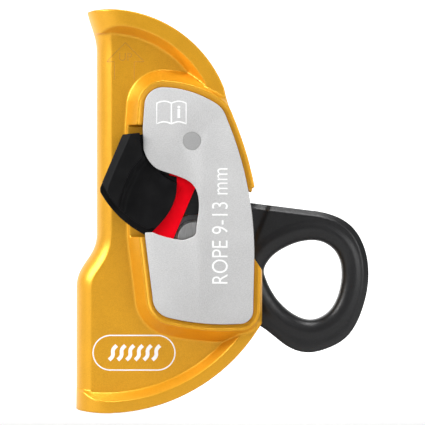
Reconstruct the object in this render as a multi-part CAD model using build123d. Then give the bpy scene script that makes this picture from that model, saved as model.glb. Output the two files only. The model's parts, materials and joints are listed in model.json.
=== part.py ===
from build123d import *
from math import cos, exp, pi, radians, sin
import os

# Cam-loaded rope clamp that opens on a curved release slot. Millimetres.
# Origin: on the rope groove's axis, level with the catch pivots.
# +Z runs up the rope, +X points from the rope to the attachment eye, -Y is the front.

# --- Channel body -------------------------------------------------------------
ROPE_RADIUS = 7.0           # rope groove, and half the gap between the two walls
WALL_HALF_WIDTH = 10.2      # outer faces of the walls
LIP_HALF_WIDTH = 13.7       # outer faces of the flared mouths
RIM_HALF_WIDTH = 15.9       # top of the rim round each cover plate
SPINE_X = -10.2             # outer face of the spine beside the groove
SPINE_LOW_X = -17.25        # outer face of the spine below the groove
SPINE_ROUND = 10.1          # outer corners of the spine
LIP_ROUND = 12.5            # the same round the mouths
FLOOR_HALF_WIDTH = 9.1      # recessed floor of the walls, beside the spine
FLOOR_EDGE = 5.6            # from the spine's outer face to the edge of that floor
FLANK_GROWTH = 6.5          # foot of the sloping flank, outward from the cover plate's edge
RIM_GROWTH = 2.4            # outer edge of the rim, outward from the cover plate's edge
GRIP_TOP = 30.0             # the true-radius groove runs between these heights
GRIP_BOTTOM = -20.5
RELIEF_X = -7.4             # groove bottom just below the true-radius stretch
RELIEF_LOW_X = -14.2        # groove bottom in the deep lower channel
TOP_ARC = (-6.2, 2.1, 43.6)     # centre x, centre z and radius of the top mouth
LOW_ARC = (-6.9, -31.4, 62.6)   # the same for the bottom mouth
TOP_BAND = 5.3              # width of the raised band along each mouth
LOW_BAND = 4.0
COVE = 2.9                  # width of the slope between a band and the wall

# --- Release slot, axle and cam -----------------------------------------------
AXLE_X = 23.67
AXLE_Z = -33.5
AXLE_RADIUS = 5.0
HEAD_RADIUS = 6.3
WASHER_RADIUS = 8.1
SLOT_RADIUS = 12.4          # the axle travels on this radius to leave the slot
SLOT_HALF_WIDTH = 5.15
RELEASE_X = AXLE_X + SLOT_RADIUS
HEAD_TRACK = 8.5            # half width of the track that clears the outer washers
CAM_HALF_WIDTH = 6.7
HUB_HALF_WIDTH = 6.3
CAM_RADIUS = 24.2           # cam face radius facing the groove
CAM_GROWTH = 0.415          # log-spiral growth of the cam face per radian
CAM_FROM = 130.0            # the cam face spans these angles about the axle
CAM_TO = 200.0
STOP_X = 38.5
STOP_Z = -61.9
STOP_RADIUS = 2.5

# --- Catches --------------------------------------------------------------------
PIVOT_X = 23.1
PIVOT_RADIUS = 3.07
BUSH_RADIUS = 4.4
CATCH_RADIUS = 36.2         # outer edge of the catch about its pivot
LEVER_RADIUS = 34.9         # outer edge of the steel lever inside the pad
FLAP_RADIUS = 25.4          # outer edge of the lever's flap, which hides the release slot
PAD_RADIUS = 34.0           # outer edge of the pad's raised part
PAD_INNER_RADIUS = 15.5     # inner edge of the same, clear of the plate's bay
RUNNING_GAP = 0.05

# --- Layers outward from the wall, on each side ---------------------------------
WASHER_FROM, WASHER_TO = 10.3, 11.25
HEAD_TO = 12.55
LEVER_FROM, LEVER_TO = 12.8, 13.9
INLAY_TO = 14.3
PLATE_FROM, PLATE_TO = 14.5, 16.5


def slab(face, start, end):
    """Solid from a side-view face, between two distances in front of the middle plane."""
    return extrude(Plane.XZ.offset(start) * face, amount=end - start)


def both_ways(face, half_width):
    """Solid from a side-view face, as thick on both sides of the middle plane."""
    return extrude(Plane.XZ * face, amount=half_width, both=True)


def polar(centre, radius, degrees):
    """Point on a circle in the side view."""
    return (centre[0] + radius * cos(radians(degrees)), centre[1] + radius * sin(radians(degrees)))


def arc(centre, radius, start, end):
    """Arc in the side view between two angles in degrees."""
    points = [polar(centre, radius, a) for a in (start, (start + end) / 2, end)]
    return ThreePointArc(*points)


def disc(x, z, radius):
    """Round face in the side view."""
    return Pos(x, z) * Circle(radius)


def sector(centre, inner, outer, start, end):
    """Face between two radii and two angles in the side view."""
    edges = [
        arc(centre, outer, start, end),
        Line(polar(centre, outer, end), polar(centre, inner, end)),
        arc(centre, inner, end, start),
        Line(polar(centre, inner, start), polar(centre, outer, start)),
    ]
    return make_face(edges)


def polygon(points):
    """Face with straight sides in the side view."""
    return make_face(Polyline(*points, close=True))


def lathe(centre, section, start, sweep):
    """Solid turned about an axis along Y, from (radius, depth) points, over part of a turn."""
    face = make_face(Polyline(*section, close=True))
    turned = revolve(Plane.XY * face, Axis((0, 0, 0), (0, 1, 0)), sweep)
    return Pos(centre[0], 0, centre[1]) * Rot(0, -start, 0) * turned


def mirrored(shape):
    """The same shape on the other side of the middle plane."""
    return mirror(shape, about=Plane.XZ)


def wall_outline():
    """Side view of the walls and the spine, without the rims."""
    top = (TOP_ARC[0], TOP_ARC[1])
    low = (LOW_ARC[0], LOW_ARC[1])
    edges = [
        arc(top, TOP_ARC[2], 99.6, 22.0),
        Spline(polar(top, TOP_ARC[2], 22.0), (39.0, 3.8), (43.4, -10.0), (43.9, -16.0)),
        Line((43.9, -16.0), (43.9, -40.3)),
        Line((43.9, -40.3), (44.5, -40.3)),
        Line((44.5, -40.3), (47.3, -44.5)),
        Line((47.3, -44.5), (47.3, -63.0)),
        Line((47.3, -63.0), polar(low, LOW_ARC[2], -33.4)),
        arc(low, LOW_ARC[2], -33.4, -99.6),
        Line(polar(low, LOW_ARC[2], -99.6), (SPINE_LOW_X, -50.7)),
        Spline((SPINE_LOW_X, -50.7), (SPINE_X, -32.0), tangents=[(0, 1), (0, 1)]),
        Line((SPINE_X, -32.0), (SPINE_X, 31.0)),
        Spline((SPINE_X, 31.0), polar(top, TOP_ARC[2], 99.6), tangents=[(0, 1), (-0.2, 1)]),
    ]
    return make_face(edges)


def plate_outline(grow):
    """Outer edge of a cover plate, as if the thumb bay were closed, grown by an amount."""
    edges = [
        Line((7.0, -33.1), (6.2, 4.7)),
        Line((6.2, 4.7), (6.8, 12.6)),
        ThreePointArc((6.8, 12.6), (8.8, 16.8), (13.0, 18.5)),
        ThreePointArc((13.0, 18.5), (23.8, 16.6), (32.0, 12.5)),
        ThreePointArc((32.0, 12.5), (33.9, 10.4), (35.0, 8.0)),
        ThreePointArc((35.0, 8.0), (41.4, -11.6), (44.6, -40.0)),
        Line((44.6, -40.0), (44.2, -58.2)),
        ThreePointArc((44.2, -58.2), (42.9, -61.6), (39.2, -63.0)),
        ThreePointArc((39.2, -63.0), (26.5, -62.8), (14.8, -60.8)),
        ThreePointArc((14.8, -60.8), (11.1, -58.3), (9.6, -54.0)),
        Line((9.6, -54.0), (7.0, -33.1)),
    ]
    face = make_face(edges)
    return offset(face, grow) if grow else face


def bay_outline():
    """Bay in the cover plate's left side, where the thumb pad moves."""
    pivot = (PIVOT_X, 0)
    low_end = polar(pivot, 34.3, 264.8)
    edges = [
        Line((-20.0, 1.6), (6.1, 1.6)),
        Spline((6.1, 1.6), (6.3, -2.6), (9.7, -8.5), (17.7, -11.9),
               tangents=[(0, -1), (1, -0.35)]),
        Spline((17.7, -11.9), (23.4, -15.0), (25.4, -24.5), (24.6, -30.4), low_end,
               tangents=[(1, -0.35), (-1, -0.25)]),
        arc(pivot, 34.3, 264.8, 246.5),
        Line(polar(pivot, 34.3, 246.5), (-20.0, -32.5)),
        Line((-20.0, -32.5), (-20.0, 1.6)),
    ]
    return make_face(edges)


def head_track():
    """Side view of the path that the outer washers sweep on their way out."""
    centre = (RELEASE_X, AXLE_Z)
    path = sector(centre, SLOT_RADIUS - HEAD_TRACK, SLOT_RADIUS + HEAD_TRACK, 180, -14)
    return path + disc(AXLE_X, AXLE_Z, HEAD_TRACK)


def release_slot():
    """Side view of the J-shaped slot in each wall."""
    centre = (RELEASE_X, AXLE_Z)
    inner = SLOT_RADIUS - SLOT_HALF_WIDTH
    outer = SLOT_RADIUS + SLOT_HALF_WIDTH
    path = sector(centre, inner, outer, 180, -3)
    return path + disc(AXLE_X, AXLE_Z, SLOT_HALF_WIDTH)


def channel_cavity():
    """The space between the walls, with the rope groove at its back."""
    upright = (Align.CENTER, Align.CENTER, Align.MIN)
    grip = Pos(0, 0, GRIP_BOTTOM) * Cylinder(ROPE_RADIUS, 80, align=upright)
    relief = Pos(0, 0, GRIP_TOP) * Cylinder(-RELIEF_X, 80, align=upright)
    between = Pos(30, 0, 15) * Box(60, 2 * ROPE_RADIUS, 71)
    edges = [
        Line((60, GRIP_BOTTOM), (RELIEF_X, GRIP_BOTTOM)),
        Line((RELIEF_X, GRIP_BOTTOM), (RELIEF_X, -32.0)),
        Spline((RELIEF_X, -32.0), (RELIEF_LOW_X, -50.7), tangents=[(0, -1), (0, -1)]),
        Line((RELIEF_LOW_X, -50.7), (RELIEF_LOW_X, -100)),
        Line((RELIEF_LOW_X, -100), (60, -100)),
        Line((60, -100), (60, GRIP_BOTTOM)),
    ]
    deep = both_ways(make_face(edges), ROPE_RADIUS)
    back = [e for e in deep.edges() if abs(abs(e.center().Y) - ROPE_RADIUS) < 0.01 and e.center().X < 0
            and e.bounding_box().size.Z > 5]
    return grip, relief, between, fillet(back, 6.4)


def floor_recess():
    """Side view of the recessed floor, which follows the spine and goes round the rim."""
    upper = SPINE_X + FLOOR_EDGE
    lower = SPINE_LOW_X + FLOOR_EDGE
    edges = [
        Line((upper, 60), (upper, -32.0)),
        Spline((upper, -32.0), (lower, -50.7), tangents=[(0, -1), (0, -1)]),
        Line((lower, -50.7), (lower, -100)),
        Line((lower, -100), (60, -100)),
        Line((60, -100), (60, 60)),
        Line((60, 60), (upper, 60)),
    ]
    return make_face(edges) - plate_outline(5.6)


def spine_edges(slab_shape, half_width):
    """Long outer edges of the spine on a slab of the given half width."""
    return [e for e in slab_shape.edges() if abs(abs(e.center().Y) - half_width) < 0.01
            and e.center().X < SPINE_X + 0.5 and e.bounding_box().size.Z > 1]


def mouth(arc_data, band, start, sweep):
    """Raised band and cove along one mouth, on both sides of the body."""
    radius = arc_data[2]
    edge = radius - band
    section = [
        (edge - COVE, FLOOR_HALF_WIDTH), (edge, LIP_HALF_WIDTH), (radius, LIP_HALF_WIDTH),
        (radius, -LIP_HALF_WIDTH), (edge, -LIP_HALF_WIDTH), (edge - COVE, -FLOOR_HALF_WIDTH),
    ]
    return lathe(arc_data, section, start, sweep)


def mouth_flare(arc_data, start, sweep):
    """Flare cut from the inside of one mouth, so that no edge bears on the rope."""
    radius = arc_data[2]
    section = [(radius - 6, ROPE_RADIUS), (radius + 1, LIP_HALF_WIDTH - 3), (radius + 1, -LIP_HALF_WIDTH + 3),
               (radius - 6, -ROPE_RADIUS)]
    return lathe(arc_data, section, start, sweep)


def flank():
    """Sloping flank under one rim, kept inside the body's outline."""
    start = FLOOR_HALF_WIDTH - 0.5
    end = RIM_HALF_WIDTH - 0.6
    foot = Plane.XZ.offset(start) * plate_outline(FLANK_GROWTH)
    top = Plane.XZ.offset(end) * plate_outline(RIM_GROWTH)
    return loft([foot, top], ruled=True) & slab(wall_outline(), start, RIM_HALF_WIDTH)


def rim():
    """Rim round one cover plate, with the ledge that carries the plate."""
    wall_top = slab(plate_outline(RIM_GROWTH), WALL_HALF_WIDTH - 1, RIM_HALF_WIDTH)
    seat = slab(plate_outline(0.3), PLATE_FROM, RIM_HALF_WIDTH + 1)
    pocket = slab(plate_outline(-1.8), WALL_HALF_WIDTH, PLATE_FROM + 1)
    ring = wall_top + flank() - seat - pocket
    sweep_room = sector((PIVOT_X, 0), 1.0, CATCH_RADIUS + 0.4, 170, 285)
    ring = ring - slab(sweep_room, WALL_HALF_WIDTH, RIM_HALF_WIDTH + 1)
    left_gap = Pos(0, -13.8) * Rectangle(17, 38.6)
    ring = ring - slab(left_gap, WALL_HALF_WIDTH, RIM_HALF_WIDTH + 1)
    right_gap = Pos(50.0, -28.2) * Rectangle(14, 24.2)
    ring = ring - slab(right_gap, WALL_HALF_WIDTH, RIM_HALF_WIDTH + 1)
    beyond_wall = polygon([(43.9, -16.1), (56, -16.1), (56, -44.5), (47.3, -44.5), (44.5, -40.3), (43.9, -40.3)])
    ring = ring - slab(beyond_wall, ROPE_RADIUS, RIM_HALF_WIDTH + 1)
    return ring - slab(head_track(), WALL_HALF_WIDTH, LEVER_FROM)


def channel_body():
    """U-shaped body: spine with the rope groove, two walls, flared mouths and both rims."""
    core = both_ways(wall_outline(), WALL_HALF_WIDTH)
    core = fillet(spine_edges(core, WALL_HALF_WIDTH), SPINE_ROUND)
    floor = slab(floor_recess(), FLOOR_HALF_WIDTH, WALL_HALF_WIDTH + 1)
    core = core - floor - mirrored(floor)
    silhouette = both_ways(wall_outline(), LIP_HALF_WIDTH)
    silhouette = fillet(spine_edges(silhouette, LIP_HALF_WIDTH), LIP_ROUND)
    bands = mouth(TOP_ARC, TOP_BAND, 110, 92) + mouth(LOW_ARC, LOW_BAND, -30, 75)
    body = core + (bands & silhouette)
    ring = rim()
    body = body + ring + mirrored(ring)
    for space in channel_cavity():
        body = body - space
    body = body - mouth_flare(TOP_ARC, 92, 70) - mouth_flare(LOW_ARC, -25, 70)
    body = body - both_ways(release_slot(), 30)
    body = body - both_ways(disc(PIVOT_X, 0, PIVOT_RADIUS), 30)
    return body - both_ways(disc(STOP_X, STOP_Z, STOP_RADIUS), WALL_HALF_WIDTH)


def cover_plate():
    """Front cover plate, with its thumb bay and rivet hole."""
    plate = slab(plate_outline(0), PLATE_FROM, PLATE_TO)
    plate = plate - slab(bay_outline(), PLATE_FROM - 1, PLATE_TO + 1)
    plate = plate - slab(disc(PIVOT_X, 0, PIVOT_RADIUS), PLATE_FROM - 1, PLATE_TO + 1)
    return plate


def pivot_rivet():
    """Rivet from the inside of the wall to the face of the cover plate."""
    return slab(disc(PIVOT_X, 0, PIVOT_RADIUS), ROPE_RADIUS, PLATE_TO)


def catch_bush():
    """Spacer bush round the rivet that the catch turns on."""
    ring = disc(PIVOT_X, 0, BUSH_RADIUS) - disc(PIVOT_X, 0, PIVOT_RADIUS)
    return slab(ring, WALL_HALF_WIDTH, PLATE_FROM)


def catch_spring():
    """Torsion spring round the bush, with one leg behind the catch's lug."""
    wire = 0.33
    turns = Helix(pitch=0.8, height=1.6, radius=5.6)
    coil = sweep(Plane(turns @ 0, z_dir=turns % 0) * Circle(wire), turns)
    coil = Pos(PIVOT_X, -10.65, 0) * Rot(90, 0, 0) * coil
    centre = (PIVOT_X, 0)
    legs = []
    for start, end, depth in ((polar(centre, 5.6, 236), polar(centre, 22.0, 235), 12.1),
                              (polar(centre, 5.6, 60), polar(centre, 11.5, 52), 11.0)):
        path = Line((start[0], -depth, start[1]), (end[0], -depth, end[1]))
        legs.append(sweep(Plane(path @ 0, z_dir=path % 0) * Circle(wire), path))
    return coil + legs[0] + legs[1]


def catch_outline():
    """Side view of the catch lever in its open place."""
    centre = (PIVOT_X, 0)
    blade = [
        Line((PIVOT_X - 5.0, 5.2), (PIVOT_X - 22.9, 1.0)),
        Line((PIVOT_X - 22.9, 1.0), polar(centre, LEVER_RADIUS, 209)),
        arc(centre, LEVER_RADIUS, 209, 259),
        Line(polar(centre, LEVER_RADIUS, 259), (PIVOT_X + 1.2, -15.9)),
        Line((PIVOT_X + 1.2, -15.9), (PIVOT_X + 7.2, -1.5)),
        Line((PIVOT_X + 7.2, -1.5), (PIVOT_X - 5.0, 5.2)),
    ]
    return make_face(blade) + disc(PIVOT_X, 0, 7.3)


def pad_region():
    """Side view of the part of the catch that the thumb pad covers."""
    centre = (PIVOT_X, 0)
    edges = [
        Line((5.2, 2.8), (PIVOT_X - 23.9, 2.2)),
        Line((PIVOT_X - 23.9, 2.2), polar(centre, CATCH_RADIUS - 0.6, 207)),
        Line(polar(centre, CATCH_RADIUS - 0.6, 207), polar(centre, CATCH_RADIUS, 209)),
        arc(centre, CATCH_RADIUS, 209, 243.5),
        Line(polar(centre, CATCH_RADIUS, 243.5), (9.3, -31.4)),
        Spline((9.3, -31.4), (15.1, -24.7), (17.7, -18.0), (17.9, -12.4), tangents=[(1, 1), (0, 1)]),
        Spline((17.9, -12.4), (9.4, -9.0), (5.9, -3.0), (5.2, 2.8), tangents=[(-1, 0.3), (0, 1)]),
    ]
    return make_face(edges)


def catch_lever():
    """Steel lever with the lug that blocks the axle head in the locked place."""
    flap = sector((PIVOT_X, 0), PAD_INNER_RADIUS, FLAP_RADIUS, 255, 280)
    lever = slab(catch_outline() + flap, LEVER_FROM, LEVER_TO)
    lug = slab(sector((PIVOT_X, 0), 15.0, 24.8, 238, 256), WASHER_FROM + 0.2, LEVER_FROM)
    bore = slab(disc(PIVOT_X, 0, BUSH_RADIUS + RUNNING_GAP), 0, 30)
    return lever + lug - bore


def thumb_pad():
    """Moulded pad on the lever: a skirt outside the plate, a raised face and a thumb ridge."""
    centre = (PIVOT_X, 0)
    raised = pad_region() & sector(centre, PAD_INNER_RADIUS, PAD_RADIUS, 170, 262)
    raised = raised - disc(9.3, -32.2, 2.2)
    base = slab(pad_region(), LEVER_TO, INLAY_TO) + slab(raised, INLAY_TO - 0.1, 16.2)
    skirt = slab(sector(centre, 27.0, CATCH_RADIUS, 184, 233) & pad_region(), WALL_HALF_WIDTH + 0.4, LEVER_FROM)
    edge = slab(pad_region() - catch_outline(), LEVER_FROM, LEVER_TO)
    ridge_face = raised & polygon([(-12, -22), (-2.5, 6), (5.6, 6), (6.0, -5.5), (2.4, -9.6), (0, -14.5),
                                   (-2.0, -24)])
    ridge = slab(ridge_face, 16.0, 19.0)
    return base + skirt + edge + ridge


def red_indicator():
    """Red inlay on the lever, covered by the plate once the catch is locked."""
    strip = catch_outline() & sector((PIVOT_X, 0), 12.5, PAD_RADIUS + 1.0, 236, 274)
    return slab(strip - pad_region(), LEVER_TO, INLAY_TO)


def cam_axle():
    """Axle with a flat head at each end."""
    shaft = Pos(AXLE_X, 0, AXLE_Z) * Rot(90, 0, 0) * Cylinder(AXLE_RADIUS, 2 * HEAD_TO)
    head = slab(disc(AXLE_X, AXLE_Z, HEAD_RADIUS), WASHER_TO + RUNNING_GAP, HEAD_TO)
    rim_edges = [e for e in head.edges() if abs(e.center().Y + HEAD_TO) < 0.01]
    head = chamfer(rim_edges, 0.9)
    shaft = shaft & both_ways(disc(AXLE_X, AXLE_Z, AXLE_RADIUS + 1), HEAD_TO - 0.2)
    return shaft + head + mirrored(head)


def ring_on_axle(radius, bore, start, end):
    """Flat ring centred on the axle."""
    return slab(disc(AXLE_X, AXLE_Z, radius) - disc(AXLE_X, AXLE_Z, bore), start, end)


def arm_outline():
    """Side view of the cam, the arm and the attachment eye as one forging."""
    centre = (AXLE_X, AXLE_Z)
    face = []
    for step in range(8):
        degrees = CAM_FROM + (CAM_TO - CAM_FROM) * step / 7
        radius = CAM_RADIUS * exp(CAM_GROWTH * radians(degrees - 180))
        face.append(polar(centre, radius, degrees))
    edges = [
        Spline(*face),
        Line(face[-1], (-0.4, -45.0)),
        Spline((-0.4, -45.0), (16.0, -44.6), (30.0, -52.1), tangents=[(1, 0.1), (1, -0.72)]),
        Line((30.0, -52.1), (46.6, -64.0)),
        Spline((46.6, -64.0), (51.4, -67.5), (57.0, -71.6), (63.0, -73.3), (69.5, -72.1), (76.5, -68.2),
               (82.0, -59.0), (84.4, -47.5), (83.0, -36.8), (78.0, -28.9), (71.0, -25.2), (64.0, -23.9)),
        Line((64.0, -23.9), (43.5, -21.3)),
        Line((43.5, -21.3), face[0]),
    ]
    eye = Spline((48.2, -46.0), (51.2, -52.7), (58.4, -60.0), (64.3, -62.0), (70.4, -59.5), (74.3, -52.8),
                 (75.3, -45.5), (73.6, -38.9), (68.6, -34.9), (62.0, -34.5), (54.8, -37.1), (49.6, -41.4),
                 periodic=True)
    return make_face(edges), make_face(eye)


def cam_arm():
    """Cam and arm, thinned at the hub, with the attachment eye through it."""
    outline, eye = arm_outline()
    arm = both_ways(outline, CAM_HALF_WIDTH)
    arm = arm - both_ways(eye, 30)
    hub = slab(disc(AXLE_X, AXLE_Z, 9.2), HUB_HALF_WIDTH, 20)
    spring_pocket = slab(disc(AXLE_X, AXLE_Z, 8.3) - disc(AXLE_X, AXLE_Z, 6.2), 3.4, 7.0)
    arm = arm - hub - mirrored(hub) - spring_pocket
    return arm - both_ways(disc(AXLE_X, AXLE_Z, 6.2), 30)


def cam_spring():
    """Light torsion spring in the pocket beside the cam's bush."""
    turns = Helix(pitch=0.9, height=1.8, radius=7.2)
    coil = sweep(Plane(turns @ 0, z_dir=turns % 0) * Circle(0.4), turns)
    return Pos(AXLE_X, -3.95, AXLE_Z) * Rot(90, 0, 0) * coil


def side_nodes():
    """Nodes that come in a front and a rear copy."""
    return {
        "cover_plate": cover_plate(),
        "pivot_rivet": pivot_rivet(),
        "catch_bush": catch_bush(),
        "catch_spring": catch_spring(),
        "catch_lever": catch_lever(),
        "thumb_pad": thumb_pad(),
        "red_indicator": red_indicator(),
        "axle_washer": ring_on_axle(WASHER_RADIUS, AXLE_RADIUS + RUNNING_GAP, WASHER_FROM, WASHER_TO),
        "thrust_washer": ring_on_axle(8.6, AXLE_RADIUS + RUNNING_GAP, HUB_HALF_WIDTH + 0.05, ROPE_RADIUS - 0.05),
    }


def main():
    """Build every node and write its STEP file."""
    nodes = {
        "channel_body": channel_body(),
        "cam_stop_pin": both_ways(disc(STOP_X, STOP_Z, STOP_RADIUS), WALL_HALF_WIDTH),
        "cam_axle": cam_axle(),
        "cam_arm": cam_arm(),
        "cam_bush": both_ways(disc(AXLE_X, AXLE_Z, 6.2) - disc(AXLE_X, AXLE_Z, AXLE_RADIUS + RUNNING_GAP),
                              HUB_HALF_WIDTH),
        "cam_spring": cam_spring(),
    }
    for name, shape in side_nodes().items():
        nodes["front_" + name] = shape
        nodes["rear_" + name] = mirrored(shape)
    os.makedirs("parts", exist_ok=True)
    for name, shape in nodes.items():
        export_step(shape, "parts/" + name + ".step")


main()
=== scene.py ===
"""Looks of a cam-loaded rope clamp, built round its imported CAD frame.

The front faces -Y, the rope runs along Z and the attachment eye is at +X. Sizes are in metres.
"""
from __future__ import annotations

import json
import logging
import math
from dataclasses import dataclass
from enum import Enum
from typing import Callable, Sequence

import bpy
import numpy as np
from mathutils import Matrix, Vector
from mathutils.bvhtree import BVHTree
from mathutils.kdtree import KDTree

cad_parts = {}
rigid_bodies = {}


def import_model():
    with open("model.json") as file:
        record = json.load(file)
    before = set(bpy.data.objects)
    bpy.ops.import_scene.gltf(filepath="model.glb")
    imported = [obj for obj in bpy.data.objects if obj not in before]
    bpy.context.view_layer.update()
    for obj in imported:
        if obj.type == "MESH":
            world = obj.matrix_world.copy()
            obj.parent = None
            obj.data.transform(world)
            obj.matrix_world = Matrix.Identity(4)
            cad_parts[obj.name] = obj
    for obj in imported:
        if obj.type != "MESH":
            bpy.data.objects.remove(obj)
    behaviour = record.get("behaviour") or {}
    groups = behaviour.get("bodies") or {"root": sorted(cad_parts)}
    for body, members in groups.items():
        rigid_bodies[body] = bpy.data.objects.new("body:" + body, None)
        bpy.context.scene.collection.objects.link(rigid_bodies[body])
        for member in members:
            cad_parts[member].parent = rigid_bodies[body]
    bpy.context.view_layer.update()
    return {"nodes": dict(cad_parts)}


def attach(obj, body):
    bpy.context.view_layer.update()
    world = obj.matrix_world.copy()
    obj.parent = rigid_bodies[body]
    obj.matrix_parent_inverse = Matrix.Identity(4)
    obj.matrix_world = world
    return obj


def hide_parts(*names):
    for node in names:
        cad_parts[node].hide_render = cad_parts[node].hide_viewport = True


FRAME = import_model()

LOG = logging.getLogger("rope_clamp")
MM = 0.001
MERGE_DISTANCE = 0.004 * MM

Piece = bpy.types.Object
Socket = bpy.types.NodeSocket
Point2 = tuple[float, float]
Colour = tuple[float, float, float]
Surface = Callable[[float, float], float]

CAM_AXIS: Point2 = (23.67 * MM, -33.5 * MM)


class Side(Enum):
    """The two mirrored sides of the clamp."""

    FRONT = -1
    REAR = 1

    @property
    def word(self) -> str:
        """Prefix of this side's piece names."""
        return self.name.lower()


# --- Workshop helpers -------------------------------------------------------------


def deselect() -> None:
    """Clear the selection."""
    for obj in bpy.context.view_layer.objects:
        obj.select_set(False)


def pick(obj: Piece) -> None:
    """Select one object and make it active.

    Args:
        obj: The object.
    """
    deselect()
    obj.select_set(True)
    bpy.context.view_layer.objects.active = obj


def edit_all(piece: Piece) -> None:
    """Open a piece in edit mode with all of it selected.

    Args:
        piece: The piece to open.
    """
    pick(piece)
    bpy.ops.object.mode_set(mode="EDIT")
    bpy.ops.mesh.select_all(action="SELECT")


def rough_copy(node: str, name: str) -> Piece:
    """Copy a CAD node's mesh as a new piece, with its loose triangles merged.

    Args:
        node: Name of the CAD node.
        name: Name of the new piece.

    Returns:
        The new piece, at the origin.
    """
    source = FRAME["nodes"][node]
    mesh = source.data.copy()
    mesh.transform(source.matrix_world)
    mesh.materials.clear()
    mesh.name = name
    piece = bpy.data.objects.new(name, mesh)
    bpy.context.scene.collection.objects.link(piece)
    edit_all(piece)
    bpy.ops.mesh.remove_doubles(threshold=MERGE_DISTANCE)
    bpy.ops.object.mode_set(mode="OBJECT")
    return piece


def add_modifier(piece: Piece, kind: str, **settings: object) -> None:
    """Add one modifier with the given settings and apply it.

    Args:
        piece: The piece to change.
        kind: Blender's name of the modifier type.
        settings: The modifier's properties.
    """
    pick(piece)
    modifier = piece.modifiers.new(kind.lower(), kind)
    for key, value in settings.items():
        setattr(modifier, key, value)
    bpy.ops.object.modifier_apply(modifier=modifier.name)


def reskin(piece: Piece, cell: float) -> None:
    """Rebuild a piece as one even skin of cells of one size."""
    add_modifier(piece, "REMESH", mode="VOXEL", voxel_size=cell, adaptivity=0.0)


def ease(piece: Piece, rounds: int) -> None:
    """Ease a piece's edges by a number of smoothing rounds."""
    add_modifier(piece, "SMOOTH", factor=0.5, iterations=rounds)


def thin(piece: Piece, triangles: int) -> None:
    """Reduce a piece to at most a number of triangles.

    Args:
        piece: The piece to change.
        triangles: Most triangles that are kept.
    """
    count = sum(len(face.vertices) - 2 for face in piece.data.polygons)
    if count > triangles:
        add_modifier(piece, "DECIMATE", ratio=triangles / count)


def smooth(piece: Piece, degrees: float) -> None:
    """Shade a piece smooth except across edges sharper than an angle."""
    pick(piece)
    bpy.ops.object.shade_smooth_by_angle(angle=math.radians(degrees))


def rows_of(piece: Piece, attribute: str = "co") -> np.ndarray:
    """Read a vector of every vertex.

    Args:
        piece: The piece to read.
        attribute: "co" for the places, "normal" for the normals.

    Returns:
        The vectors, one row each.
    """
    flat = np.empty(len(piece.data.vertices) * 3)
    piece.data.vertices.foreach_get(attribute, flat)
    return flat.reshape(-1, 3)


def put_points(piece: Piece, points: np.ndarray) -> None:
    """Move the piece's vertices to the given rows."""
    piece.data.vertices.foreach_set("co", points.ravel())
    piece.data.update()


def other_side(piece: Piece, name: str) -> Piece:
    """Copy a piece to the other side of the middle plane, with its own mesh.

    Args:
        piece: The piece to copy.
        name: Name of the copy.

    Returns:
        The mirrored copy.
    """
    mesh = piece.data.copy()
    mesh.name = name
    mesh.transform(Matrix.Diagonal((1, -1, 1, 1)))
    mesh.flip_normals()
    twin = bpy.data.objects.new(name, mesh)
    bpy.context.scene.collection.objects.link(twin)
    return twin


def ramp(value: np.ndarray | float, start: float, end: float) -> np.ndarray | float:
    """Smooth rise from 0 at start to 1 at end."""
    t = np.clip((value - start) / (end - start), 0.0, 1.0)
    return t * t * (3 - 2 * t)


# --- Finishes ---------------------------------------------------------------------


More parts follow.
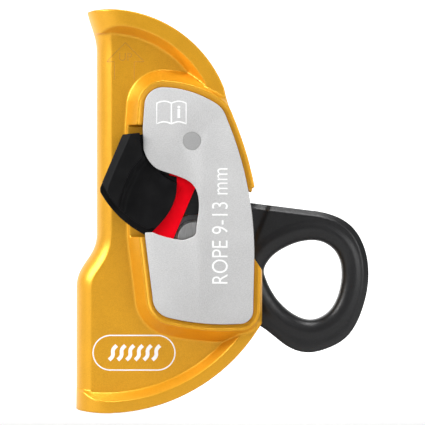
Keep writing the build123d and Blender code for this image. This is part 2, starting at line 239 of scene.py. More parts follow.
class Graph:
    """A material's node graph, with short calls for the nodes that the finishes use."""

    NOISE_SPAN: Point2 = (0.25, 0.75)
    TONE_STOPS: Point2 = (0.3, 0.7)

    def __init__(self, name: str) -> None:
        """Start a material with one shader.

        Args:
            name: Name of the material.
        """
        self.material = bpy.data.materials.new(name)
        self.material.use_nodes = True
        self.nodes = self.material.node_tree.nodes
        self.links = self.material.node_tree.links
        self.shader = self.nodes["Principled BSDF"]
        self.place = self.nodes.new("ShaderNodeTexCoord").outputs["Object"]

    def join(self, source: Socket, target: Socket) -> None:
        """Link an output to an input."""
        self.links.new(source, target)

    def set(self, name: str, value: float | Sequence[float]) -> None:
        """Set one of the shader's own inputs."""
        self.shader.inputs[name].default_value = value

    def paint(self, colour: Socket) -> None:
        """Colour the surface."""
        self.join(colour, self.shader.inputs["Base Color"])

    def noise(self, size: float, detail: float = 4.0,
              stretch: Sequence[float] = (1, 1, 1)) -> Socket:
        """Noise whose features are about the given size.

        Args:
            size: Size of the features.
            detail: Blender's detail of the noise.
            stretch: Scale for each axis, for a brushed look.

        Returns:
            The noise value's socket.
        """
        mapping = self.nodes.new("ShaderNodeMapping")
        mapping.inputs["Scale"].default_value = stretch
        self.join(self.place, mapping.inputs["Vector"])
        node = self.nodes.new("ShaderNodeTexNoise")
        node.inputs["Scale"].default_value = 1.0 / size
        node.inputs["Detail"].default_value = detail
        self.join(mapping.outputs["Vector"], node.inputs["Vector"])
        return node.outputs["Fac"]

    def tones(self, value: Socket, dark: Colour, light: Colour) -> Socket:
        """Colour ramp from a dark to a light tone.

        Args:
            value: The noise that drives the ramp.
            dark: Colour at the noise's low values.
            light: Colour at its high values.

        Returns:
            The ramp's colour socket.
        """
        node = self.nodes.new("ShaderNodeValToRGB")
        stops = zip(node.color_ramp.elements, self.TONE_STOPS, (dark, light))
        for element, position, colour in stops:
            element.position = position
            element.color = (*colour, 1.0)
        self.join(value, node.inputs["Fac"])
        return node.outputs["Color"]

    def mapped(self, value: Socket, source: Point2, target: Point2 = (0.0, 1.0)) -> Socket:
        """Map a value from one range to another, held at its ends.

        Args:
            value: The value's socket.
            source: Range of the value.
            target: Range of the result.

        Returns:
            The result's socket.
        """
        node = self.nodes.new("ShaderNodeMapRange")
        for name, number in zip(("From Min", "From Max", "To Min", "To Max"), source + target):
            node.inputs[name].default_value = number
        self.join(value, node.inputs["Value"])
        return node.outputs["Result"]

    def roughen(self, noise: Socket, span: Point2) -> None:
        """Vary the roughness over a range with a noise."""
        self.join(self.mapped(noise, self.NOISE_SPAN, span), self.shader.inputs["Roughness"])

    def mixed(self, first: Socket, second: Socket, kind: str = "MIX",
              share: Socket | None = None) -> Socket:
        """Mix two colours.

        Args:
            first: The lower colour.
            second: The upper colour.
            kind: Blender's blend type.
            share: Share of the upper colour, which is all of it when none is given.

        Returns:
            The mixed colour's socket.
        """
        node = self.nodes.new("ShaderNodeMix")
        node.data_type = "RGBA"
        node.blend_type = kind
        node.inputs[0].default_value = 1.0
        if share is not None:
            self.join(share, node.inputs[0])
        self.join(first, node.inputs[6])
        self.join(second, node.inputs[7])
        return node.outputs[2]

    def relief(self, value: Socket, depth: float, strength: float) -> None:
        """Bump the surface by a value.

        Args:
            value: The height's socket.
            depth: Height of the bumps.
            strength: How much of the bump shows.
        """
        node = self.nodes.new("ShaderNodeBump")
        node.inputs["Distance"].default_value = depth
        node.inputs["Strength"].default_value = strength
        self.join(value, node.inputs["Height"])
        self.join(node.outputs["Normal"], self.shader.inputs["Normal"])

    def vector(self, operation: str, source: Socket,
               other: Sequence[float] = (0, 0, 0)) -> bpy.types.Node:
        """Vector sum on a socket and a constant.

        Args:
            operation: Blender's name of the operation.
            source: The first vector.
            other: The second vector.

        Returns:
            The node.
        """
        node = self.nodes.new("ShaderNodeVectorMath")
        node.operation = operation
        node.inputs[1].default_value = other
        self.join(source, node.inputs[0])
        return node

    def radius_about(self, x: float, z: float) -> Socket:
        """Distance from an axis along Y.

        Args:
            x: The axis' x.
            z: The axis' z.

        Returns:
            Socket with the distance in metres.
        """
        offset = self.vector("SUBTRACT", self.place, (x, 0, z))
        flat = self.vector("MULTIPLY", offset.outputs["Vector"], (1, 0, 1))
        return self.vector("LENGTH", flat.outputs["Vector"]).outputs["Value"]


@dataclass(frozen=True)
class MetalFinish:
    """A metal with fine grain, cloudy colour variation and uneven gloss."""

    CLOUD_SIZE = 14 * MM
    CLOUD_TONES = ((0.93, 0.93, 0.93), (1.0, 1.0, 1.0))
    SMEAR_SIZE = 1.2 * MM
    GRAIN_DEPTH = 0.03 * MM
    COAT_ROUGHNESS = 0.25

    name: str
    dark: Colour
    light: Colour
    metallic: float
    gloss: Point2
    grain: float = 0.25 * MM
    relief: float = 0.25
    stretch: tuple[float, float, float] = (1, 1, 1)
    coat: float = 0.0
    specular: float = 0.5

    def make(self) -> bpy.types.Material:
        """Build the material.

        Returns:
            The material.
        """
        g = Graph(self.name)
        g.set("Specular IOR Level", self.specular)
        g.set("Metallic", self.metallic)
        if self.coat:
            g.set("Coat Weight", self.coat)
            g.set("Coat Roughness", self.COAT_ROUGHNESS)
        grain = g.noise(self.grain, 5.0, self.stretch)
        base = g.tones(grain, self.dark, self.light)
        cloud = g.tones(g.noise(self.CLOUD_SIZE, 3.0), *self.CLOUD_TONES)
        g.paint(g.mixed(base, cloud, "MULTIPLY"))
        g.roughen(g.noise(self.SMEAR_SIZE, 4.0, self.stretch), self.gloss)
        g.relief(grain, self.GRAIN_DEPTH, self.relief)
        return g.material


@dataclass(frozen=True)
class PlasticFinish:
    """A moulded plastic with a spark-eroded grain and rubbed patches."""

    PATCH_SIZE = 5 * MM
    RUB_SIZE = 2.5 * MM
    GRAIN_DEPTH = 0.04 * MM

    name: str
    dark: Colour
    light: Colour
    gloss: Point2
    grain: float = 0.3 * MM
    relief: float = 0.3
    specular: float = 0.09

    def make(self) -> bpy.types.Material:
        """Build the material.

        Returns:
            The material.
        """
        g = Graph(self.name)
        g.set("Specular IOR Level", self.specular)
        g.paint(g.tones(g.noise(self.PATCH_SIZE), self.dark, self.light))
        g.roughen(g.noise(self.RUB_SIZE, 5.0), self.gloss)
        g.relief(g.noise(self.grain, 3.0), self.GRAIN_DEPTH, self.relief)
        return g.material


@dataclass(frozen=True)
class TurnedFinish:
    """Turned steel with a brushed face; its polished outer ring is painted much lighter, a painted
    highlight on the head's rim.
    """

    BLEND = 0.06 * MM
    BRUSH_SIZE = 0.25 * MM
    BRUSH_STRETCH = (1.0, 1.0, 0.08)
    BRUSH_DEPTH = 0.02 * MM
    BRUSH_SPREAD = (0.8, 1.2)
    RIM_HIGHLIGHT_SPREAD = 0.93
    RIM_HIGHLIGHT_SIZE = 0.8 * MM

    name: str
    axis: Point2
    # Radius where the outer ring starts, and the ring's grey: the ring is painted lighter as a
    # painted highlight on the head's rim.
    ring: float
    face_grey: float
    rim_highlight_grey: float
    metallic: float = 0.85
    gloss: Point2 = (0.3, 0.5)
    relief: float = 0.3

    def make(self) -> bpy.types.Material:
        """Build the material.

        Returns:
            The material.
        """
        g = Graph(self.name)
        g.set("Metallic", self.metallic)
        brushed = g.noise(self.BRUSH_SIZE, 4.0, self.BRUSH_STRETCH)
        low, high = ((self.face_grey * share,) * 3 for share in self.BRUSH_SPREAD)
        face = g.tones(brushed, low, high)
        # Lighter tones on the outer ring: a painted highlight on the head's rim.
        rim_highlight_tones = g.tones(g.noise(self.RIM_HIGHLIGHT_SIZE),
                           (self.rim_highlight_grey * self.RIM_HIGHLIGHT_SPREAD,) * 3, (self.rim_highlight_grey,) * 3)
        rim_highlight_share = g.mapped(g.radius_about(*self.axis),
                           (self.ring - self.BLEND, self.ring + self.BLEND))
        g.paint(g.mixed(face, rim_highlight_tones, share=rim_highlight_share))
        g.roughen(brushed, self.gloss)
        g.relief(brushed, self.BRUSH_DEPTH, self.relief)
        return g.material


@dataclass(frozen=True)
class InkFinish:
    """Printed marks, and engraved marks whose darker colour is painted shade in their grooves;
    slightly uneven.
    """

    SPECK_SIZE = 0.35 * MM
    SPECK_DEPTH = 0.01 * MM
    SPREAD = 0.08

    name: str
    dark: Colour
    light: Colour
    roughness: float = 0.6
    relief: float = 0.2

    def make(self) -> bpy.types.Material:
        """Build the material.

        Returns:
            The material.
        """
        g = Graph(self.name)
        speck = g.noise(self.SPECK_SIZE, 3.0)
        g.paint(g.tones(speck, self.dark, self.light))
        g.roughen(speck, (self.roughness - self.SPREAD, self.roughness + self.SPREAD))
        g.relief(speck, self.SPECK_DEPTH, self.relief)
        return g.material



class Paint(Enum):
    """Every finish on the clamp."""

    GOLD = MetalFinish("gold_anodised", (0.74, 0.345, 0.010), (0.88, 0.435, 0.018), 0.5,
                       (0.32, 0.44), relief=0.4, coat=0.15)
    BLACK = MetalFinish("black_anodised", (0.009, 0.009, 0.010), (0.019, 0.019, 0.020), 0.2,
                        (0.3, 0.42), specular=0.45)
    PLATE = MetalFinish("blasted_plate", (0.50, 0.50, 0.50), (0.64, 0.64, 0.64), 0.25,
                        (0.45, 0.6), 0.35 * MM)
    RIVET = MetalFinish("rivet_steel", (0.36, 0.36, 0.36), (0.46, 0.46, 0.46), 0.4, (0.4, 0.55))
    WASHER = MetalFinish("washer_steel", (0.10, 0.10, 0.105), (0.16, 0.16, 0.165), 0.7,
                         (0.3, 0.45), stretch=(1, 1, 0.1))
    LEVER = MetalFinish("blackened_steel", (0.006, 0.006, 0.007), (0.012, 0.012, 0.013), 0.2,
                        (0.4, 0.55), stretch=(0.1, 1, 1), specular=0.25)
    SPRING = MetalFinish("spring_steel", (0.40, 0.40, 0.42), (0.52, 0.52, 0.54), 0.9, (0.2, 0.35))
    BRONZE = MetalFinish("sintered_bronze", (0.42, 0.22, 0.08), (0.55, 0.30, 0.12), 0.9,
                         (0.3, 0.45))
    PAD = PlasticFinish("black_nylon", (0.0035, 0.0035, 0.004), (0.007, 0.007, 0.0075),
                        (0.42, 0.56))
    RED = PlasticFinish("red_moulding", (0.72, 0.0, 0.006), (0.84, 0.001, 0.010), (0.45, 0.55),
                        specular=0.05)
    # The last two numbers are the face's grey and the outer ring's grey; the ring's near-white grey
    # is a painted highlight on the head's rim.
    AXLE = TurnedFinish("turned_steel", CAM_AXIS, 5.3 * MM, 0.45, 0.92)
    WHITE = InkFinish("white_print", (0.86, 0.86, 0.86), (0.95, 0.95, 0.95))
    # Darker gold lines laid flat on the body: painted shade that stands in for the engraved grooves
    # of the arrow and the UP letters.
    ENGRAVED = InkFinish("engraved_line", (0.50, 0.22, 0.008), (0.60, 0.27, 0.012), 0.5)

    def material(self) -> bpy.types.Material:
        """The finish's material, made the first time it is asked for."""
        return bpy.data.materials.get(self.value.name) or self.value.make()


def dress(piece: Piece, paint: Paint) -> None:
    """Give a piece one finish all over."""
    piece.data.materials.clear()
    piece.data.materials.append(paint.material())


def dress_node(node: str, paint: Paint) -> None:
    """Give a CAD node one finish through its material slots."""
    for slot in FRAME["nodes"][node].material_slots:
        slot.material = paint.material()


# --- Sub-assemblies ---------------------------------------------------------------


@dataclass
class Casting:
    """The gold channel body."""

    cell: float = 0.36 * MM
    rounds: int = 4
    triangles: int = 195000
    crease: float = 60
    # The rims rise to rim_top and fall by rim_fall between two distances from their plate.
    rim_top: float = 15.9 * MM
    rim_fall: float = 0.9 * MM
    slope: Point2 = (0.3 * MM, 1.9 * MM)
    plate_middle: float = 15.5 * MM

    def slope_rim(self, body: Piece) -> None:
        """Slope the top of each rim down towards its cover plate.

        Args:
            body: The body, before it is smoothed.
        """
        points = rows_of(body)
        plate = FRAME["nodes"]["front_cover_plate"].data
        corners = [vertex.co for vertex in plate.vertices]
        tree = BVHTree.FromPolygons(corners, [face.vertices for face in plate.polygons])
        for index in np.flatnonzero(np.abs(points[:, 1]) > self.rim_top - self.rim_fall):
            x, y, z = points[index]
            gap = tree.find_nearest(Vector((x, -self.plate_middle, z)))[3]
            limit = self.rim_top - self.rim_fall * (1 - ramp(gap, *self.slope))
            points[index, 1] = math.copysign(min(abs(y), limit), y)
        put_points(body, points)

    def build(self) -> Piece:
        """Make the body with eased edges.

        Returns:
            The finished body.
        """
        body = rough_copy("channel_body", "body_casting")
        reskin(body, self.cell)
        self.slope_rim(body)
        ease(body, self.rounds)
        thin(body, self.triangles)
        smooth(body, self.crease)
        dress(body, Paint.GOLD)
        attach(body, "frame")
        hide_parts("channel_body")
        return body


@dataclass
class Forging:
    """The cam, the arm and the attachment eye."""

    cell: float = 0.34 * MM
    first_triangles: int = 600000
    triangles: int = 170000
    rounds: int = 3
    crease: float = 60
    # Half widths of the cam's hub, of the web beside it and of the arm's flat.
    half_width: float = 6.7 * MM
    web_half_width: float = 5.3 * MM
    flat: float = 6.1 * MM
    # The bead round the eye, the ridge at its outer side and the chamfer along the outline.
    bead_width: float = 4.6 * MM
    bead_depth: float = 3.3 * MM
    ridge: Point2 = (4.2 * MM, 7.0 * MM)
    chamfer_width: float = 1.9 * MM
    chamfer_slope: float = 0.9
    # The web ends at the shoulder line, and fades out below and beside the hub.
    eye: Point2 = (62.0 * MM, -48.0 * MM)
    shoulder_top: Point2 = (50.0 * MM, -24.1 * MM)
    shoulder_foot: Point2 = (45.9 * MM, -34.1 * MM)
    shoulder: Point2 = (-1.8 * MM, 0.2 * MM)
    web_foot: Point2 = (-47 * MM, -37 * MM)
    web_start: Point2 = (30 * MM, 36 * MM)
    arm_start: Point2 = (40 * MM, 46 * MM)
    # Where the side walls are looked for: how flat, how near the middle, how far from the hub.
    wall_tilt: float = 0.3
    wall_middle: float = 4 * MM
    face_start: float = 3 * MM
    hub_reach: float = 11 * MM
    wall_step: int = 3
    far: float = 1.0

    def height(self, points: np.ndarray, outer: np.ndarray, inner: np.ndarray) -> np.ndarray:
        """Greatest half width of the forging at each point.

        Args:
            points: Vertices, one row each.
            outer: Distance of each vertex from the outline.
            inner: Distance of each vertex from the eye.

        Returns:
            The half widths.
        """
        x, z = points[:, 0], points[:, 2]
        along = Vector(self.shoulder_top) - Vector(self.shoulder_foot)
        normal = Vector((along.y, -along.x)).normalized()
        foot_x, foot_z = self.shoulder_foot
        beyond = (x - foot_x) * normal.x + (z - foot_z) * normal.y
        fade = ramp(z, *self.web_foot) * ramp(x, *self.web_start)
        web = (self.flat - self.web_half_width) * (1 - ramp(beyond, *self.shoulder)) * fade
        arm = ramp(x, *self.arm_start)
        bead = np.clip(self.bead_width - inner, 0, None) / self.bead_width
        fall = self.bead_depth * (1 - np.sqrt(np.clip(1 - bead**2, 0, None)))
        crest = (self.half_width - self.flat) * (1 - ramp(inner, *self.ridge))
        chamfer = np.clip(self.chamfer_width - outer, 0, None) * self.chamfer_slope
        thinner = self.flat - self.half_width + crest - fall - chamfer
        return self.half_width + arm * thinner - web

    def gaps(self, points: np.ndarray, wall: np.ndarray, wanted: np.ndarray) -> np.ndarray:
        """Distance of the wanted vertices from a side wall, seen from the front.

        Args:
            points: Vertices, one row each.
            wall: Mask of the side wall's vertices.
            wanted: Indices of the vertices to measure.

        Returns:
            The distances, with a large value where none is measured.
        """
        places = np.flatnonzero(wall)[::self.wall_step]
        tree = KDTree(len(places))
        for index in places:
            tree.insert((points[index, 0], 0, points[index, 2]), int(index))
        tree.balance()
        gap = np.full(len(points), self.far)
        for index in wanted:
            gap[index] = tree.find((points[index, 0], 0, points[index, 2]))[2]
        return gap

    def shape(self, arm: Piece) -> None:
        """Bead the eye, chamfer the outline and thin the web.

        Args:
            arm: The reskinned forging.
        """
        points = rows_of(arm)
        normals = rows_of(arm, "normal")
        x, depth, z = points[:, 0], np.abs(points[:, 1]), points[:, 2]
        to_eye = (self.eye[0] - x) * normals[:, 0] + (self.eye[1] - z) * normals[:, 2]
        from_hub = np.hypot(x - CAM_AXIS[0], z - CAM_AXIS[1])
        wall = np.abs(normals[:, 1]) < self.wall_tilt
        wall &= (depth < self.wall_middle) & (from_hub > self.hub_reach)
        is_eye = (to_eye > 0) & (x > self.arm_start[1])
        wanted = np.flatnonzero((depth > self.face_start) & (x > self.web_start[0]))
        outer = self.gaps(points, wall & ~is_eye, wanted)
        inner = self.gaps(points, wall & is_eye, wanted)
        limit = self.height(points, outer, inner)
        points[:, 1] = np.clip(points[:, 1], -limit, limit)
        put_points(arm, points)

    def build(self) -> Piece:
        """Make the forging with a beaded eye, chamfered edges and a thinner web.

        Returns:
            The finished forging.
        """
        arm = rough_copy("cam_arm", "cam_arm_forging")
        reskin(arm, self.cell)
        ease(arm, 1)
        thin(arm, self.first_triangles)
        self.shape(arm)
        ease(arm, self.rounds)
        thin(arm, self.triangles)
        smooth(arm, self.crease)
        dress(arm, Paint.BLACK)
        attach(arm, "cam")
        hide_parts("cam_arm")
        return arm


@dataclass
class Catch:
    """A locking catch: moulded pad, steel lever and red indicator."""

    cell: float = 0.24 * MM
    first_triangles: int = 200000
    triangles: int = 60000
    rounds: int = 3
    crease: float = 50
    # Distances of the pad's levels from the middle plane.
    top: float = 18.9 * MM
    rim: float = 16.0 * MM
    hollow: float = 14.9 * MM
    least: float = 14.35 * MM
    raised: float = 14.3 * MM
    # The face falls from the crest, drops at the brink and rises again on the hollow's far side.
    fall: float = 0.25
    fall_reach: float = 8 * MM
    drop: Point2 = (-0.1 * MM, 3.6 * MM)
    far_rise: float = 0.9 * MM
    far_side: Point2 = (7 * MM, 14 * MM)
    least_band: float = 0.5 * MM
    # Lines from low to high, as x and z in millimetres: the ridge's crest, the brink of the
    # thumb hollow and the pad's outer edge.
    crest: tuple[Point2, ...] = ((-6.8, -26.0), (-5.9, -17.6), (-5.3, -14.8), (-3.1, -9.3),
                                 (0.35, -1.7), (2.0, 2.2))
    brink: tuple[Point2, ...] = ((-3.9, -27.0), (-2.8, -22.0), (-1.9, -18.6), (0.0, -14.5),
                                 (2.4, -9.6), (6.0, -5.5), (9.0, -1.0))
    outer: tuple[Point2, ...] = ((-3.0, -26.5), (-8.4, -17.9), (-8.2, -15.5), (-0.8, 2.2))

    def line(self, points: Sequence[Point2], z: np.ndarray) -> np.ndarray:
        """Line through points given from low to high, as x for each z."""
        return np.interp(z, [p[1] * MM for p in points], [p[0] * MM for p in points])

    def height(self, points: np.ndarray) -> np.ndarray:
        """Greatest distance of the pad's face from the middle plane at each point.

        Args:
            points: Vertices, one row each.

        Returns:
            The distances.
        """
        x, z = points[:, 0], points[:, 2]
        crest = self.line(self.crest, z)
        brink = self.line(self.brink, z)
        outer = self.line(self.outer, z)
        rise = np.clip((x - outer) / np.maximum(crest - outer, self.least_band), 0, 1)
        band = self.rim + (self.top - self.rim) * rise
        plane = self.top - self.fall * np.clip(x - crest, 0, self.fall_reach)
        hollow = self.hollow + self.far_rise * ramp(x - brink, *self.far_side)
        drop = ramp(x - brink, *self.drop)
        return np.minimum(band, plane * (1 - drop) + hollow * drop)

    def pad(self) -> Piece:
        """Make the front pad with its ridge and its thumb hollow.

        Returns:
            The finished pad.
        """
        pad = rough_copy("front_thumb_pad", "front_catch_pad")
        reskin(pad, self.cell)
        ease(pad, 1)
        thin(pad, self.first_triangles)
        points = rows_of(pad)
        limit = np.maximum(self.height(points), self.least)
        raised = points[:, 1] < -self.raised
        points[raised, 1] = np.maximum(points[raised, 1], -limit[raised])
        put_points(pad, points)
        ease(pad, self.rounds)
        thin(pad, self.triangles)
        smooth(pad, self.crease)
        dress(pad, Paint.PAD)
        return pad

    def build(self) -> None:
        """Make both catches and dress their CAD nodes."""
        front = self.pad()
        rear = other_side(front, "rear_catch_pad")
        for side, pad in ((Side.FRONT, front), (Side.REAR, rear)):
            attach(pad, side.word + "_catch")
            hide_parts(side.word + "_thumb_pad")
            dress_node(side.word + "_catch_lever", Paint.LEVER)
            dress_node(side.word + "_red_indicator", Paint.RED)


@dataclass
class Cover:
    """A cover plate with eased edges, and what is riveted under it."""

    chamfer: float = 0.3 * MM
    corner: float = 60
    flatness: float = 0.5
    crease: float = 35

    def plate(self) -> Piece:
        """Make the front plate.

        Returns:
            The finished plate.
        """
        plate = rough_copy("front_cover_plate", "front_plate")
        edit_all(plate)
        bpy.ops.mesh.dissolve_limited(angle_limit=math.radians(self.flatness))
        bpy.ops.object.mode_set(mode="OBJECT")
        add_modifier(plate, "BEVEL", width=self.chamfer, segments=2, limit_method="ANGLE",
                     angle_limit=math.radians(self.corner))
        smooth(plate, self.crease)
        dress(plate, Paint.PLATE)
        return plate

    def build(self) -> None:
        """Make both plates and dress the rivets, bushes and springs."""
        front = self.plate()
        rear = other_side(front, "rear_plate")
        for side, plate in ((Side.FRONT, front), (Side.REAR, rear)):
            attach(plate, "frame")
            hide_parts(side.word + "_cover_plate")
            dress_node(side.word + "_pivot_rivet", Paint.RIVET)
            dress_node(side.word + "_catch_bush", Paint.BRONZE)
            dress_node(side.word + "_catch_spring", Paint.SPRING)


@dataclass
class AxleGroup:
    """The release axle, its washers, its bush and the cam's spring and stop."""

    axle: Paint = Paint.AXLE
    washer: Paint = Paint.WASHER
    bearing: Paint = Paint.BRONZE

    def build(self) -> None:
        """Dress the CAD nodes round the axle."""
        dress_node("cam_axle", self.axle)
        dress_node("cam_bush", self.bearing)
        dress_node("cam_spring", Paint.SPRING)
        dress_node("cam_stop_pin", Paint.RIVET)
        for side in Side:
            dress_node(side.word + "_axle_washer", self.washer)
            dress_node(side.word + "_thrust_washer", self.bearing)


@dataclass(frozen=True)
class Lettering:
    """How a line of letters is set: text size, width against the font's, stroke gain, turn."""

    size: float
    squeeze: float = 1.0
    weight: float = 0.0
    turn: float = 0.0


@dataclass
class Marks:
    """Generic marks: a direction arrow, a book, a rope size and a rope sign.

    Points and sizes of the drawings are in millimetres, in the front view.
    """

    ground: Piece
    lift: float = 0.03 * MM
    sink: float = 0.2
    layer: float = 0.01 * MM
    thickness: float = 0.01 * MM
    crease: float = 30
    plate_face: float = -16.5 * MM
    wall_face: float = -9.1 * MM
    ray_start: float = -0.05
    arrow_line: float = 0.34 * MM
    arrow_steps: int = 6
    arrow_outline: tuple[Point2, ...] = ((-3.8, 21.4), (-3.8, 27.6), (-6.5, 27.6), (-3.3, 30.9),
                                         (0.0, 34.2), (3.3, 30.9), (6.5, 27.6), (3.1, 27.6),
                                         (3.1, 21.4))
    arrow_letters: Lettering = Lettering(3.9 * MM)
    arrow_middle: Point2 = (0.0, 29.1)
    page_line: float = 0.55 * MM
    spine_line: float = 0.5 * MM
    page_bow: float = 0.7
    page_steps: int = 8
    book_sides: tuple[float, float, float] = (11.0, 16.05, 21.1)
    book_ends: Point2 = (5.9, 13.0)
    spine_ends: Point2 = (6.1, 12.9)
    book_letter: Lettering = Lettering(6.2 * MM, 1.1, 0.14 * MM)
    book_letter_middle: Point2 = (18.6, 9.9)
    size_letters: Lettering = Lettering(7.9 * MM, 0.81, -0.05 * MM, 90)
    size_middle: Point2 = (33.05, -29.3)
    sign_middle: Point2 = (3.0, -73.2)
    sign_line: float = 0.5 * MM
    sign_half: float = 8.2
    sign_round: float = 6.0
    sign_steps: int = 16
    strand_line: float = 1.5 * MM
    strand_count: int = 6
    strand_steps: int = 8
    strand_start: float = -8.6
    strand_pitch: float = 3.0
    strand_lean: float = 2.6
    strand_bow: float = 0.5
    strand_height: float = 5.0

    def as_mesh(self, piece: Piece) -> Piece:
        """Turn a curve or text object into a mesh object.

        Args:
            piece: The curve or text object.

        Returns:
            The mesh object.
        """
        bpy.context.scene.collection.objects.link(piece)
        pick(piece)
        bpy.ops.object.convert(target="MESH")
        return bpy.context.view_layer.objects.active

    def strokes(self, name: str, lines: Sequence[Sequence[Point2]], width: float,
                closed: bool = False) -> Piece:
        """Lines of one width in the front view.

        Args:
            name: Name of the piece.
            lines: Points in millimetres of each line.
            width: Width of the lines.
            closed: Whether each line returns to its start.

        Returns:
            The lines as one mesh, in the middle plane.
        """
        curve = bpy.data.curves.new(name, "CURVE")
        curve.dimensions = "3D"
        curve.bevel_depth = width / 2
        curve.bevel_resolution = 1
        curve.use_fill_caps = True
        for points in lines:
            spline = curve.splines.new("POLY")
            spline.points.add(len(points) - 1)
            for target, (x, z) in zip(spline.points, points):
                target.co = (x * MM, 0, z * MM, 1)
            spline.use_cyclic_u = closed
        return self.as_mesh(bpy.data.objects.new(name, curve))

    def letters(self, name: str, text: str, middle: Point2, setting: Lettering) -> Piece:
        """Flat letters in the front view.

        Args:
            name: Name of the piece.
            text: What the letters say.
            middle: Middle of the text, in millimetres.
            setting: How the text is set.

        Returns:
            The letters as one mesh.
        """
        curve = bpy.data.curves.new(name, "FONT")
        curve.offset = setting.weight
        curve.body = text
        curve.size = setting.size
        curve.align_x = "CENTER"
        curve.align_y = "CENTER"
        curve.extrude = self.thickness
        piece = self.as_mesh(bpy.data.objects.new(name, curve))
        stand = Matrix.Rotation(math.radians(90), 4, "X")
        swing = Matrix.Rotation(math.radians(-setting.turn), 4, "Y")
        narrow = Matrix.Diagonal((setting.squeeze, 1, 1, 1))
        place = Matrix.Translation((middle[0] * MM, 0, middle[1] * MM))
        piece.data.transform(place @ swing @ stand @ narrow)
        return piece

    def lay(self, piece: Piece, surface: Surface, paint: Paint, layer: int = 0) -> None:
        """Lay a flat piece on a surface as a thin film and dress it.

        Args:
            piece: The piece, in the middle plane.
            surface: Surface's y at an x and z.
            paint: The finish.
            layer: How many other films lie under it.
        """
        for vertex in piece.data.vertices:
            film = self.sink + (1.0 if vertex.co.y < 0 else 0.0)
            ground = surface(vertex.co.x, vertex.co.z)
            vertex.co.y = ground - self.lift * film - self.layer * layer
        smooth(piece, self.crease)
        dress(piece, paint)
        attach(piece, "frame")

    def on_body(self) -> Surface:
        """Find the body's front surface by casting rays at it.

        Returns:
            A function that gives the surface's y at an x and z.
        """
        tree = BVHTree.FromObject(self.ground, bpy.context.evaluated_depsgraph_get())

        def surface(x: float, z: float) -> float:
            """Surface's y at an x and z."""
            hit = tree.ray_cast(Vector((x, self.ray_start, z)), Vector((0, 1, 0)))[0]
            return hit.y if hit else self.wall_face

        return surface

    def arrow(self) -> Piece:
        """Outline of an arrow that points up the rope.

        Returns:
            The arrow.
        """
        dense: list[Point2] = []
        for (x0, z0), (x1, z1) in zip(self.arrow_outline, self.arrow_outline[1:]):
            dense += [(x0 + (x1 - x0) * k / self.arrow_steps, z0 + (z1 - z0) * k / self.arrow_steps)
                      for k in range(self.arrow_steps)]
        return self.strokes("up_arrow", [dense + [self.arrow_outline[-1]]], self.arrow_line)

    def page_edge(self, x0: float, x1: float, z: float) -> list[Point2]:
        """One bowed page edge.

        Args:
            x0: Where it starts.
            x1: Where it ends.
            z: Its height at both ends.

        Returns:
            Its points.
        """
        shares = [k / self.page_steps for k in range(self.page_steps + 1)]
        return [(x0 + (x1 - x0) * t, z + self.page_bow * math.sin(math.pi * t)) for t in shares]

    def book(self) -> list[Piece]:
        """Open book: bowed page edges, a spine and a letter i.

        Returns:
            The pieces, from the lowest layer up.
        """
        left, middle, right = self.book_sides
        low, high = self.book_ends
        pages = self.page_edge(left, middle, high) + self.page_edge(middle, right, high)[1:]
        pages += self.page_edge(right, middle, low) + self.page_edge(middle, left, low)[1:]
        spine = [(middle, z) for z in self.spine_ends]
        return [self.strokes("book_sign", [pages], self.page_line, closed=True),
                self.strokes("book_sign_spine", [spine], self.spine_line),
                self.letters("book_sign_letter", "i", self.book_letter_middle, self.book_letter)]

    def rope_sign(self) -> list[Piece]:
        """Rounded frame round a short length of laid rope.

        Returns:
            The frame and the strands.
        """
        cx, cz = self.sign_middle
        ring = []
        for side, start in ((1, -90), (-1, 90)):
            for k in range(self.sign_steps + 1):
                turn = math.radians(start + 180 * k / self.sign_steps)
                ring.append((cx + side * self.sign_half + self.sign_round * math.cos(turn),
                             cz + self.sign_round * math.sin(turn)))
        shares = [k / self.strand_steps for k in range(self.strand_steps + 1)]
        strands = []
        for number in range(self.strand_count):
            x = cx + self.strand_start + number * self.strand_pitch
            strands.append([(x + self.strand_lean * t
                             + self.strand_bow * math.sin(2 * math.pi * t),
                             cz + self.strand_height * (t - 0.5)) for t in shares])
        return [self.strokes("rope_sign_frame", [ring], self.sign_line, closed=True),
                self.strokes("rope_sign_strands", strands, self.strand_line)]

    def build(self) -> None:
        """Make and lay every mark."""
        body = self.on_body()

        def plate(x: float, z: float) -> float:
            """The plate's face is flat."""
            return self.plate_face

        # The arrow and the UP letters are darker gold films: painted shade for their engraved
        # grooves.
        self.lay(self.arrow(), body, Paint.ENGRAVED)
        self.lay(self.letters("up_letters", "UP", self.arrow_middle, self.arrow_letters), body,
                 Paint.ENGRAVED)
        for layer, piece in enumerate(self.book()):
            self.lay(piece, plate, Paint.WHITE, layer)
        self.lay(self.letters("rope_size_letters", "ROPE 9-13 mm", self.size_middle,
                              self.size_letters), plate, Paint.WHITE)
        for piece in self.rope_sign():
            self.lay(piece, body, Paint.WHITE)


# --- Studio -----------------------------------------------------------------------


@dataclass(frozen=True)
class Lamp:
    """One soft light: where it hangs, its width and its power in watts."""

    name: str
    place: tuple[float, float, float]
    size: float
    power: float


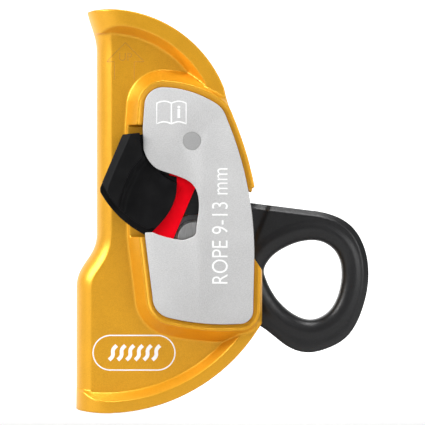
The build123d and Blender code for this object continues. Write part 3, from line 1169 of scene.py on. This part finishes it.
@dataclass
class Studio:
    """Backdrop, lights and camera."""

    centre: Point2 = (30.19 * MM, -24.63 * MM)
    distance: float = 1.2
    view_width: float = 146.6 * MM
    front: float = -14.0 * MM
    sensor: float = 36.0
    clip: Point2 = (0.05, 20.0)
    lamps: tuple[Lamp, ...] = (Lamp("key", (-1.1, -0.45, 0.6), 0.6, 17.0),
                               Lamp("fill", (1.0, -1.0, 0.3), 0.7, 7.0),
                               Lamp("top", (0.15, -0.4, 1.1), 0.5, 9.0))
    air: float = 0.2
    floor: float = -104.0 * MM
    floor_size: Point2 = (8.0, 4.0)
    wall_height: float = 4.0
    sweep_offset: float = 0.8
    sweep_segments: int = 16
    sweep_crease: float = 40
    paper_tones: tuple[Colour, Colour] = ((0.58, 0.58, 0.58), (0.60, 0.60, 0.60))
    paper_cloud: float = 0.4
    paper_roughness: float = 0.9
    paper_glow: float = 0.95
    glow_rise: Point2 = (0.05, 0.35)

    def choose_edges(self, sweep: Piece, wanted: Callable[[Vector], bool]) -> None:
        """Open the sweep in edit mode with some of its edges selected.

        Args:
            sweep: The sweep.
            wanted: Whether an edge's end is one to select.
        """
        bpy.ops.mesh.select_mode(type="EDGE")
        bpy.ops.mesh.select_all(action="DESELECT")
        bpy.ops.object.mode_set(mode="OBJECT")
        corners = sweep.data.vertices
        for edge in sweep.data.edges:
            edge.select = all(wanted(corners[index].co) for index in edge.vertices)
        bpy.ops.object.mode_set(mode="EDIT")

    def paper(self) -> bpy.types.Material:
        """Pale paper that glows softly behind the object.

        Returns:
            The material.
        """
        g = Graph("studio_paper")
        g.paint(g.tones(g.noise(self.paper_cloud), *self.paper_tones))
        g.set("Roughness", self.paper_roughness)
        g.set("Emission Color", (1, 1, 1, 1))
        split = g.nodes.new("ShaderNodeSeparateXYZ")
        g.join(g.place, split.inputs[0])
        glow = g.mapped(split.outputs["Y"], self.glow_rise, (0.0, self.paper_glow))
        g.join(glow, g.shader.inputs["Emission Strength"])
        return g.material

    def backdrop(self) -> None:
        """Curved sweep from the floor up behind the object."""
        deselect()
        bpy.ops.mesh.primitive_plane_add(size=1, location=(0, 0, self.floor))
        sweep = bpy.context.active_object
        sweep.name = "studio_sweep"
        bpy.ops.object.mode_set(mode="EDIT")
        bpy.ops.transform.resize(value=(*self.floor_size, 1))
        self.choose_edges(sweep, lambda end: end.y > 0)
        bpy.ops.mesh.extrude_region_move(
            TRANSFORM_OT_translate={"value": (0, 0, self.wall_height)})
        self.choose_edges(sweep, lambda end: end.y > 0 and abs(end.z) < self.wall_height / 2)
        bpy.ops.mesh.bevel(offset=self.sweep_offset, segments=self.sweep_segments)
        bpy.ops.object.mode_set(mode="OBJECT")
        bpy.ops.object.transform_apply(location=True, rotation=True, scale=True)
        smooth(sweep, self.sweep_crease)
        sweep.data.materials.append(self.paper())

    def light(self, lamp: Lamp) -> None:
        """Add one soft light aimed at the object.

        Args:
            lamp: The light to add.
        """
        data = bpy.data.lights.new(lamp.name, "AREA")
        data.size = lamp.size
        data.energy = lamp.power
        obj = bpy.data.objects.new(lamp.name, data)
        obj.location = lamp.place
        aim = Vector((self.centre[0], 0, self.centre[1])) - Vector(lamp.place)
        obj.rotation_euler = aim.to_track_quat("-Z", "Y").to_euler()
        bpy.context.scene.collection.objects.link(obj)

    def surroundings(self) -> None:
        """Fill the room with a dim, even white light."""
        world = bpy.data.worlds.new("studio_air")
        world.use_nodes = True
        background = world.node_tree.nodes["Background"]
        background.inputs["Color"].default_value = (1, 1, 1, 1)
        background.inputs["Strength"].default_value = self.air
        bpy.context.scene.world = world
        bpy.context.scene.view_settings.view_transform = "Standard"

    def camera(self) -> None:
        """Add the camera that looks along +Y."""
        data = bpy.data.cameras.new("camera")
        data.sensor_width = self.sensor
        data.lens = self.sensor * self.distance / self.view_width
        data.clip_start, data.clip_end = self.clip
        obj = bpy.data.objects.new("camera", data)
        obj.location = (self.centre[0], self.front - self.distance, self.centre[1])
        obj.rotation_euler = (math.radians(90), 0, 0)
        bpy.context.scene.collection.objects.link(obj)
        bpy.context.scene.camera = obj

    def build(self) -> None:
        """Set up the whole studio."""
        self.backdrop()
        self.surroundings()
        for lamp in self.lamps:
            self.light(lamp)
        self.camera()


def main() -> None:
    """Build every sub-assembly in order and report it."""
    logging.basicConfig(level=logging.INFO, format="%(message)s")
    Studio().build()
    LOG.info("studio ready")
    body = Casting().build()
    LOG.info("body_casting ready")
    Forging().build()
    LOG.info("cam_arm_forging ready")
    Catch().build()
    LOG.info("front_catch_pad and rear_catch_pad ready")
    Cover().build()
    LOG.info("front_plate and rear_plate ready")
    AxleGroup().build()
    LOG.info("axle group dressed")
    Marks(body).build()
    LOG.info("marks laid")


if __name__ == "__main__":
    main()
